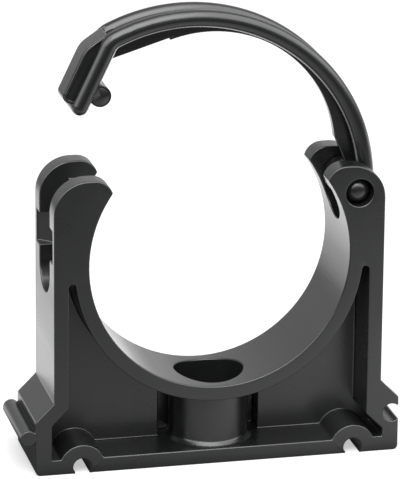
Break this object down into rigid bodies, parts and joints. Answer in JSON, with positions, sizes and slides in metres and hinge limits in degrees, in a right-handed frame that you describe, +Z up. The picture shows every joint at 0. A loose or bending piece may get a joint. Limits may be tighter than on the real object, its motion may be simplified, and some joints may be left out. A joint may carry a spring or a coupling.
{
  "type": "pipe clip",
  "caption": "Moulded plastic pipe clip: a screw-down base with an open cradle between eared columns, and a hinged strap that snaps shut over the pipe.",
  "frame": {"origin": "middle of the base's underside, on the screw hole's axis", "axes": "X across the clip from the latch side to the hinge side, Y along the pipe, Z up out of the mounting surface"},
  "size_m": [0.0926, 0.0232, 0.11],
  "materials": {
    "black_plastic": "moulded polypropylene, satin, with a fine mould texture",
    "black_plastic_strap": "moulded polypropylene, satin, slightly smoother than the base"
  },
  "bodies": {
    "base": {"clip_base": "black_plastic"},
    "strap": {"strap": "black_plastic_strap"}
  },
  "joints": [
    {"name": "strap_hinge", "type": "hinge", "parent": "base", "child": "strap", "pos_m": [0.0337, 0, 0.0654], "axis": [0, -1, 0], "range_deg": [-98, 25.5]}
  ]
}
